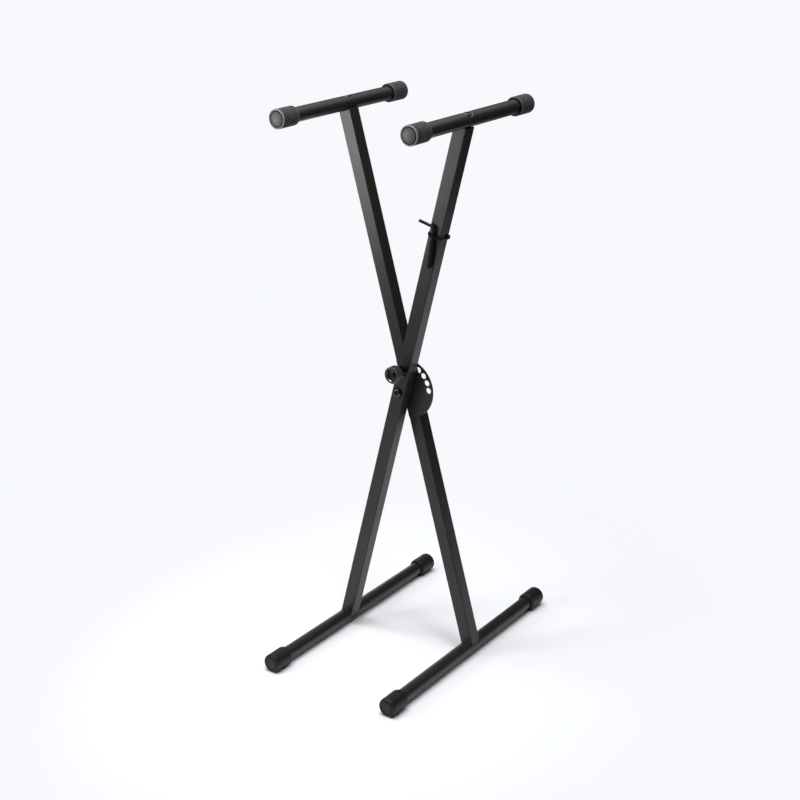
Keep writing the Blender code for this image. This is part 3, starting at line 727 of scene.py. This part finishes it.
rings += arc(foot_cap_radius - foot_cap_edge, foot_end - foot_cap_edge, foot_cap_edge, pi / 2, 0, 7)
rings += arc(foot_cap_radius - foot_cap_waist, foot_mouth + foot_cap_waist_height, foot_cap_waist,
             0, -radians(50), 4)
rings = sleeve_rings(rings, foot_end, foot_mouth, foot_cap_mouth_radius)
foot_cap = turn_on_lathe("foot_cap", rings, 96)
foot_rubber = dull_black("plain_rubber", (0.005, 0.005, 0.005, 1), (0.011, 0.011, 0.010, 1),
                         roughness=0.44, grain=0.00020, gloss=0.34)
for name, side in sides:
    push_on(foot_cap, name, "foot", side, foot_rubber, -leg_lower)
bpy.data.objects.remove(foot_cap)


# Arm screws: button heads with a hex socket, painted black, each down in its arm's dimple.
# The threads end in an insert in the top of the leg, which keeps the shape that the frame has.
screw_head_radius = 0.0068
screw_head_height = 0.0036
screw_shank_radius = 0.004
screw_tip = -0.0291
screw_socket_flats = 0.005
screw_socket_depth = 0.0022
crown_flat = 0.52
crown_drop = 0.82
head_edge = 0.0002
tip_chamfer = 0.0008
clearance = 0.0003


def button_head(name, radius, top, base, shank_radius, tip, socket_flats, socket_depth):
    """A round-headed screw drawn up its own Z, with a hex socket in its crown."""
    flat = radius * crown_flat
    drop = (top - base) * crown_drop
    rings = [(pole, top), (flat, top)]
    steps = 6
    for i in range(1, steps + 1):
        angle = pi / 2 * i / steps
        rings.append((flat + (radius - flat) * sin(angle), top - drop * (1 - cos(angle))))
    rings += [(radius, base + head_edge), (radius - head_edge, base), (shank_radius, base)]
    rings += [(shank_radius, tip + tip_chamfer), (shank_radius - tip_chamfer, tip), (pole, tip)]
    screw = turn_on_lathe(name, rings, 64)
    cut(screw, rod(socket_flats / sqrt(3), socket_depth * 2, (0, 0, top), upright, 6))
    return screw


black_paint = dull_black("black_paint", (0.012, 0.012, 0.012, 1), (0.022, 0.022, 0.022, 1),
                         roughness=0.26, grain=0.00002, gloss=0.5)
screw_floor = dimple_floor + clearance
for name, side in sides:
    screw = button_head("arm_screw", screw_head_radius, screw_floor + screw_head_height, screw_floor,
                        screw_shank_radius, screw_tip, screw_socket_flats, screw_socket_depth)
    settle(screw, (0, -side * leg_offset, leg_upper))
    dress(lean_over(screw, side), black_paint, f"{name}_leg", f"{name}_arm_screw")


# Pivot: one button-head bolt through both legs, with a washer under its head and under its nut.
# A nylon spacer keeps the front leg off the lock plate. Bushes line the legs, inside them.
bolt_hole_radius = 0.0052
washer_radius = 0.009
washer_edge = 0.0003
spacer_radius = 0.012
bolt_head_radius = 0.00775
bolt_shank_radius = 0.005
bolt_socket_flats = 0.006
bolt_socket_depth = 0.0022
nut_flats = 0.017
nut_chamfer = 0.0010
nut_drill_length = 0.05
corner_angle = radians(30)


def metal(name, colour, roughness, brushed):
    """Plated steel: fine scratches and a little tarnish."""
    made, shader, start = surface(name, {"Metallic": 1.0})
    place = start.place()
    cloud = noise(place, 180, 3)
    scratch = noise(place, 5200)
    dull = tuple(part * 0.72 for part in colour[:3]) + (1,)
    feed(shader, "Base Color", between(cloud, dull, colour))
    feed(shader, "Roughness", roughness + cloud * 0.10 + scratch * 0.06)
    feed(shader, "Normal", bump(scratch, brushed, 0.6))
    return made


def front_of(node):
    """How far a node's front and back faces stand towards the front."""
    low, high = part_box(node)
    return -low.y, -high.y


def washer(node, radius, finish):
    """A flat ring on the bolt, as thick as its node."""
    front, back = front_of(node)
    rings = [(radius, front), (radius, back), (bolt_hole_radius, back), (bolt_hole_radius, front)]
    obj = turn_on_lathe(node, rings + rings[:1], 72)
    soften(obj, washer_edge)
    settle(obj, pivot, (pi / 2, 0, 0))
    return dress(obj, finish, "pivot", node)


def nylon():
    """Plain black nylon: even, with a faint moulded grain."""
    made, shader, start = surface("black_nylon", {"IOR": 1.53, "Specular IOR Level": 0.45})
    grain = noise(start.place(), 900, 3)
    feed(shader, "Base Color", between(grain, (0.028, 0.028, 0.030, 1), (0.040, 0.040, 0.042, 1)))
    feed(shader, "Roughness", 0.48 + grain * 0.12)
    feed(shader, "Normal", bump(grain, 0.00004, 0.6))
    return made


black_zinc = metal("blackened_steel", (0.030, 0.030, 0.031, 1), roughness=0.34, brushed=0.00002)
glossy_black = metal("glossy_black_zinc", (0.085, 0.085, 0.088, 1), roughness=0.17, brushed=0.00001)
zinc = metal("bright_zinc", (0.55, 0.55, 0.56, 1), roughness=0.26, brushed=0.00002)
washer("pivot_washer_front", washer_radius, black_zinc)
washer("pivot_washer_rear", washer_radius, zinc)
washer("pivot_spacer", spacer_radius, nylon())
bolt_top, bolt_tip = front_of("pivot_bolt")
head_base = front_of("pivot_washer_front")[0] + clearance
bolt = button_head("pivot_bolt_draft", bolt_head_radius, bolt_top, head_base,
                   bolt_shank_radius, bolt_tip, bolt_socket_flats, bolt_socket_depth)
settle(bolt, pivot, (pi / 2, 0, 0))
dress(bolt, glossy_black, "pivot", "pivot_bolt")


def hex_nut(node, flats, bore, chamfer):
    """A hex nut with its corners turned off on both faces, drawn up its own Z."""
    front, back = front_of(node)
    corner = flats / sqrt(3)
    nut = rod(corner, front - back, (0, 0, (front + back) / 2), upright, 6)
    inner = corner - chamfer
    outer = corner + chamfer
    slope = 2 * chamfer * tan(corner_angle)
    rings = [(pole, front), (inner, front), (outer, front - slope)]
    rings += [(outer, back + slope), (inner, back), (pole, back)]
    settle(nut, nut.location)
    cut(nut, turn_on_lathe("chamfer", rings, 72), "INTERSECT")
    cut(nut, rod(bore, nut_drill_length, (0, 0, front), upright, 48))
    return nut


nut = hex_nut("pivot_nut", nut_flats, bolt_shank_radius, nut_chamfer)
settle(nut, pivot, (pi / 2, 0, 0))
dress(nut, zinc, "pivot", "pivot_nut")


# Lock plate: a D of steel plate welded on the rear leg round the pivot, with a hole for each height
# and one for the folded legs, where the sprung pin drops in. Punched, deburred and powder coated.
plate_radius = 0.055
plate_chord = 0.010
plate_corner = 0.004
plate_edge = 0.0003
punch_length = 0.02
lock_hole_radius = 0.0055
lock_step = radians(17.5)
lock_positions = 5
folded_angle = radians(4.5)
near_enough = 0.00001
plate_front, plate_back = front_of("lock_plate")
plate = rod(plate_radius, plate_front - plate_back, (0, 0, 0), steps=192)
settle(plate, (0, -(plate_front + plate_back) / 2, 0), plate.rotation_euler)
edit(plate)
bpy.ops.mesh.bisect(plane_co=(-plate_chord, 0, 0), plane_no=(-1, 0, 0), use_fill=True,
                    clear_outer=True, threshold=0.000001)


def on_chord_corner(edge):
    """The two short edges where the chord meets the arc."""
    start, stop = (vert.co for vert in edge.verts)
    short = abs(start.x - stop.x) < near_enough and abs(start.z - stop.z) < near_enough
    return short and start.x < -plate_chord + near_enough


pick("EDGE", on_chord_corner)
bpy.ops.mesh.bevel(offset=plate_corner, segments=8, affect="EDGES")
bpy.ops.object.mode_set(mode="OBJECT")
cut(plate, rod(bolt_hole_radius, punch_length, (0, 0, 0)))
for angle in [folded_angle] + [2 * lean + i * lock_step for i in range(lock_positions)]:
    place = (lock_radius * sin(angle), 0, lock_radius * cos(angle))
    cut(plate, rod(lock_hole_radius, punch_length, place, steps=64))
soften(plate, plate_edge, angle=60, segments=2)
dress(lean_over(plate, -1), coat, "rear_leg", "lock_plate")


# Lock housing: a turned steel boss pressed into the front leg, with a flanged plug in its mouth.
# Inside it a coil spring pushes the pin back towards the plate.
boss_radius = 0.010
boss_groove_depth = 0.0008
boss_groove_heights = (0.0035, 0.0030, 0.0016, 0.0011)
shank_radius = 0.008
chamber_radius = 0.0065
chamber_depth = 0.0093
guide_radius = 0.0048
stem_radius = 0.003
turned_edge = 0.0003


def on_lock(obj, finish, body, node):
    """Stands a turned piece of the lock square to the front leg's face, on the lock's axis."""
    settle(obj, (0, 0, lock_radius), (pi / 2, 0, 0))
    return dress(lean_over(obj, 1), finish, body, node)


housing_front, housing_back = front_of("lock_housing")
leg_front = -leg_near.y
chamber_floor = leg_front - chamber_depth
seat = leg_front + clearance
waist_radius = boss_radius - boss_groove_depth
groove_top, waist_top, waist_foot, groove_foot = (seat + height for height in boss_groove_heights)
rings = [(boss_radius, housing_front), (boss_radius, groove_top), (waist_radius, waist_top)]
rings += [(waist_radius, waist_foot), (boss_radius, groove_foot), (boss_radius, seat)]
rings += [(shank_radius, seat), (shank_radius, housing_back), (guide_radius, housing_back)]
rings += [(guide_radius, chamber_floor), (chamber_radius, chamber_floor)]
rings += [(chamber_radius, housing_front)]
housing = turn_on_lathe("housing", rings + rings[:1], 72)
soften(housing, turned_edge)
on_lock(housing, black_zinc, "front_leg", "lock_housing")

plug_front, plug_back = front_of("lock_housing_plug")
plug_seat = housing_front + clearance
spigot_radius = chamber_radius - clearance
stem_hole_radius = stem_radius + clearance
rings = [(boss_radius, plug_front), (boss_radius, plug_seat), (spigot_radius, plug_seat)]
rings += [(spigot_radius, plug_back), (stem_hole_radius, plug_back), (stem_hole_radius, plug_front)]
plug = turn_on_lathe("plug", rings + rings[:1], 72)
soften(plug, turned_edge)
on_lock(plug, zinc, "front_leg", "lock_housing_plug")

spring_radius = 0.0046
spring_wire = 0.0006
spring_turns = 7
spring_steps = 24
spring_front, spring_back = front_of("lock_spring")
spring_length = spring_front - spring_back
coil_steps = spring_turns * spring_steps
coil = []
for i in range(coil_steps + 1):
    angle = 2 * pi * i / spring_steps
    climb = spring_wire + (spring_length - 2 * spring_wire) * i / coil_steps
    coil.append((spring_radius * cos(angle), spring_radius * sin(angle), spring_back + climb))
spring = on_lock(wire("spring", coil, spring_wire), zinc, "front_leg", "lock_spring")
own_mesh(spring)


# Lock pin and knob: a turned steel pin whose collar rides in the housing, and a fluted black knob
# that pulls it, drawn up on its stem by a nut in a recess.
pin_radius = 0.0045
pin_length = 0.0137
pin_chamfer = 0.0012
stem_chamfer = 0.0006
collar_radius = 0.0061
collar_width = 0.003
pin_front, pin_back = front_of("lock_pin")
collar_back = pin_back + pin_length
collar_front = collar_back + collar_width
rings = [(pole, pin_front), (stem_radius - stem_chamfer, pin_front)]
rings += [(stem_radius, pin_front - stem_chamfer), (stem_radius, collar_front)]
rings += [(collar_radius, collar_front), (collar_radius, collar_back), (pin_radius, collar_back)]
rings += [(pin_radius, pin_back + pin_chamfer), (pin_radius - pin_chamfer, pin_back)]
pin = turn_on_lathe("pin", rings + [(pole, pin_back)], 64)
on_lock(pin, glossy_black, "pull_pin", "lock_pin")

knob_radius = 0.0155
knob_rim = 0.0016
knob_flutes = 24
flute_radius = 0.0014
flute_length = 0.05
recess_radius = 0.011
recess_floor_radius = 0.0085
recess_depth = 0.0045
recess_edge = 0.0004
knob_nut_flats = 0.010
knob_nut_chamfer = 0.0006
knob_front, knob_back = front_of("lock_knob")


def moulded_plastic():
    """Moulded black plastic: a soft sheen over a fine spark-eroded texture."""
    sheen = {"IOR": 1.5, "Specular IOR Level": 0.5, "Coat Weight": 0.8, "Coat Roughness": 0.10}
    made, shader, start = surface("moulded_plastic", sheen)
    place = start.place()
    reach = reach_from(place, lock_centre)
    recess = reach.step(recess_floor_radius - finish_fade, recess_floor_radius)
    recess = recess - reach.step(recess_radius - 0.0001, recess_radius + finish_fade)
    grain = noise(place, 1500, 3)
    cloud = noise(place, 70, 2)
    feed(shader, "Base Color", between(cloud, (0.020, 0.020, 0.021, 1), (0.034, 0.034, 0.035, 1)))
    feed(shader, "Roughness", 0.36 + grain * 0.14 - recess * 0.30)
    feed(shader, "Normal", bump(grain, 0.00007, 0.8))
    return made


lock_centre = pivot + Vector((sin(lean), 0, cos(lean))) * lock_radius
plastic = moulded_plastic()
recess_floor = knob_front - recess_depth
rings = [(stem_hole_radius, recess_floor), (recess_floor_radius, recess_floor)]
rings += [(recess_radius, knob_front - recess_edge), (recess_radius + recess_edge, knob_front)]
rings += arc(knob_radius - knob_rim, knob_front - knob_rim, knob_rim, pi / 2, 0, 5)
rings += arc(knob_radius - knob_rim, knob_back + knob_rim, knob_rim, 0, -pi / 2, 5)
rings += [(stem_hole_radius, knob_back)]
knob = turn_on_lathe("knob", rings + rings[:1], 192)
flute_place = (knob_radius + flute_radius / 2, 0, knob_front)
flute = rod(flute_radius, flute_length, flute_place, upright, 24)
settle(flute, flute.location)
edit(flute)
bpy.ops.mesh.spin(steps=knob_flutes, dupli=True, angle=2 * pi, center=(0, 0, 0), axis=(0, 0, 1))
bpy.ops.mesh.select_all(action="SELECT")
bpy.ops.mesh.remove_doubles(threshold=0.00001)
bpy.ops.object.mode_set(mode="OBJECT")
cut(knob, flute)
on_lock(knob, plastic, "pull_pin", "lock_knob")

knob_nut = hex_nut("lock_knob_nut", knob_nut_flats, stem_radius, knob_nut_chamfer)
on_lock(knob_nut, black_zinc, "pull_pin", "lock_knob_nut")


# Hex key: hex bar with an oxide finish, bent and kept on the front leg for the screws. A vinyl sleeve
# is pushed on the end of its long arm.
key_flats = 0.005
key_edge = 0.00025
key_bend_along = 0.3213
key_bend_across = -0.0024
key_short = 0.0302
key_long = 0.0707
key_slant = radians(6.5)
key_rise = radians(-0.5)
key_bend_radius = 0.005
sleeve_radius = 0.00375
sleeve_length = 0.0475
sleeve_end = 0.001
sleeve_edge = 0.0010
sleeve_chamfer = 0.0005
black_oxide = dull_black("black_oxide", (0.004, 0.004, 0.004, 1), (0.008, 0.008, 0.008, 1),
                         roughness=0.50, grain=0.00002, gloss=0.12)
key_radius = key_flats / sqrt(3)
key_depth = leg_near.y - clearance - sleeve_radius
long_way = Vector((sin(key_slant), 0, -cos(key_slant)))
short_way = Vector((-cos(key_rise), 0, sin(key_rise)))
key_corner = Vector((key_bend_across, key_depth, key_bend_along))
half_bend = long_way.angle(short_way) / 2
tangent = key_bend_radius / tan(half_bend)
bend_centre = key_corner + (short_way + long_way).normalized() * (key_bend_radius / sin(half_bend))
bpy.ops.object.select_all(action="DESELECT")
bpy.ops.mesh.primitive_circle_add(vertices=6, radius=key_radius, fill_type="NGON")
key_turn = short_way.to_track_quat("Z", "Y").to_euler()
key = settle(bpy.context.object, key_corner + short_way * key_short, key_turn)
edit(key)
bpy.ops.mesh.extrude_region_move(TRANSFORM_OT_translate={"value": short_way * (tangent - key_short)})
bpy.ops.mesh.spin(steps=14, dupli=False, angle=2 * half_bend - pi, center=bend_centre, axis=(0, 1, 0))
bpy.ops.mesh.extrude_region_move(TRANSFORM_OT_translate={"value": long_way * (key_long - tangent)})
face_outwards()
soften(key, key_edge, angle=40, segments=2)
dress(lean_over(key, 1), black_oxide, "front_leg", "hex_key")

sleeve_bore = key_radius + clearance
rings = [(pole, 0)] + arc(sleeve_radius - sleeve_edge, sleeve_edge, sleeve_edge, -pi / 2, 0, 4)
rings += [(sleeve_radius, sleeve_length - sleeve_chamfer)]
rings += [(sleeve_radius - sleeve_chamfer, sleeve_length), (sleeve_bore, sleeve_length)]
rings += [(sleeve_bore, sleeve_end), (pole, sleeve_end)]
sleeve = turn_on_lathe("sleeve", rings, 48)
sleeve_place = key_corner + long_way * (key_long + clearance + sleeve_end)
settle(sleeve, sleeve_place, (0, -key_slant, 0))
vinyl = dull_black("black_vinyl", (0.006, 0.006, 0.006, 1), (0.010, 0.010, 0.010, 1),
                   roughness=0.50, grain=0.00004, gloss=0.16)
dress(lean_over(sleeve, 1), vinyl, "front_leg", "hex_key_sleeve")


# Cable tie: a nylon strap pulled round the leg and the key, a little slack at the leg's left edge,
# with its ratchet head on the leg's right side and its tail cut off short.
tie_along = 0.3045
tie_width = 0.0048
tie_thickness = 0.0012
tie_head = (0.0038, 0.0068, 0.0062)
tie_head_inset = 0.001
tie_head_edge = 0.0006
tie_slack = 0.0008
tie_slack_inset = 0.004
tie_edge = 0.00025
tie_tail = 0.0020
tie_tail_trim = 0.0004
tie_tail_edge = 0.0002


def block(size, place):
    """A plain block, which keeps its place in its mesh."""
    bpy.ops.object.select_all(action="DESELECT")
    bpy.ops.mesh.primitive_cube_add(size=1, location=place)
    made = bpy.context.object
    made.scale = size
    return settle(made, made.location)


bpy.ops.object.select_all(action="DESELECT")
bpy.ops.mesh.primitive_cube_add(size=1)
strap = bpy.context.object
edit(strap)
strap_side = leg_side + 2 * clearance
bpy.ops.transform.resize(value=(strap_side, strap_side, tie_width))
pick("EDGE", lambda edge: abs(edge.verts[0].co.z - edge.verts[1].co.z) > tie_width / 2)
bpy.ops.mesh.bevel(offset=leg_corner, segments=5, affect="EDGES")
bpy.ops.mesh.select_all(action="SELECT")
bpy.ops.transform.translate(value=(0, -leg_offset, tie_along))
key_at_tie = key_corner + long_way * ((key_bend_along - tie_along) / cos(key_slant))
bpy.ops.mesh.select_all(action="DESELECT")
bpy.ops.mesh.primitive_cylinder_add(vertices=32, radius=key_radius + clearance, depth=tie_width,
                                    location=key_at_tie)
slack_place = (leg_corner - leg_side / 2 - tie_slack, leg_near.y + tie_slack_inset, tie_along)
bpy.ops.mesh.primitive_cylinder_add(vertices=32, radius=leg_corner + clearance, depth=tie_width,
                                    location=slack_place)
bpy.ops.mesh.select_all(action="SELECT")
bpy.ops.mesh.convex_hull()
open_both_ends()
apply(strap, "SOLIDIFY", thickness=tie_thickness, offset=1, use_even_offset=True)
soften(strap, tie_edge, angle=50, segments=2)
head_x = leg_side / 2 + clearance + tie_head[0] / 2
head_y = leg_far.y - tie_head_inset - tie_head[1] / 2
head = block(tie_head, (head_x, head_y, tie_along))
soften(head, tie_head_edge)
cut(strap, head, "UNION")
tail_size = (tie_thickness, 2 * tie_tail, tie_width - tie_tail_trim)
tail = block(tail_size, (head_x + tie_head[0] / 4, head_y - tie_head[1] / 2, tie_along))
soften(tail, tie_tail_edge, segments=2)
cut(strap, tail, "UNION")
dress(lean_over(strap, 1), vinyl, "front_leg", "cable_tie")


# Hidden steel: the inserts in the tops of the legs and the bushes on the pivot keep the frame's
# own shapes, with a zinc finish.
for name, side in sides:
    for node in (f"{name}_arm_insert", f"{name}_pivot_bush"):
        for slot in frame["nodes"][node].material_slots:
            slot.material = zinc
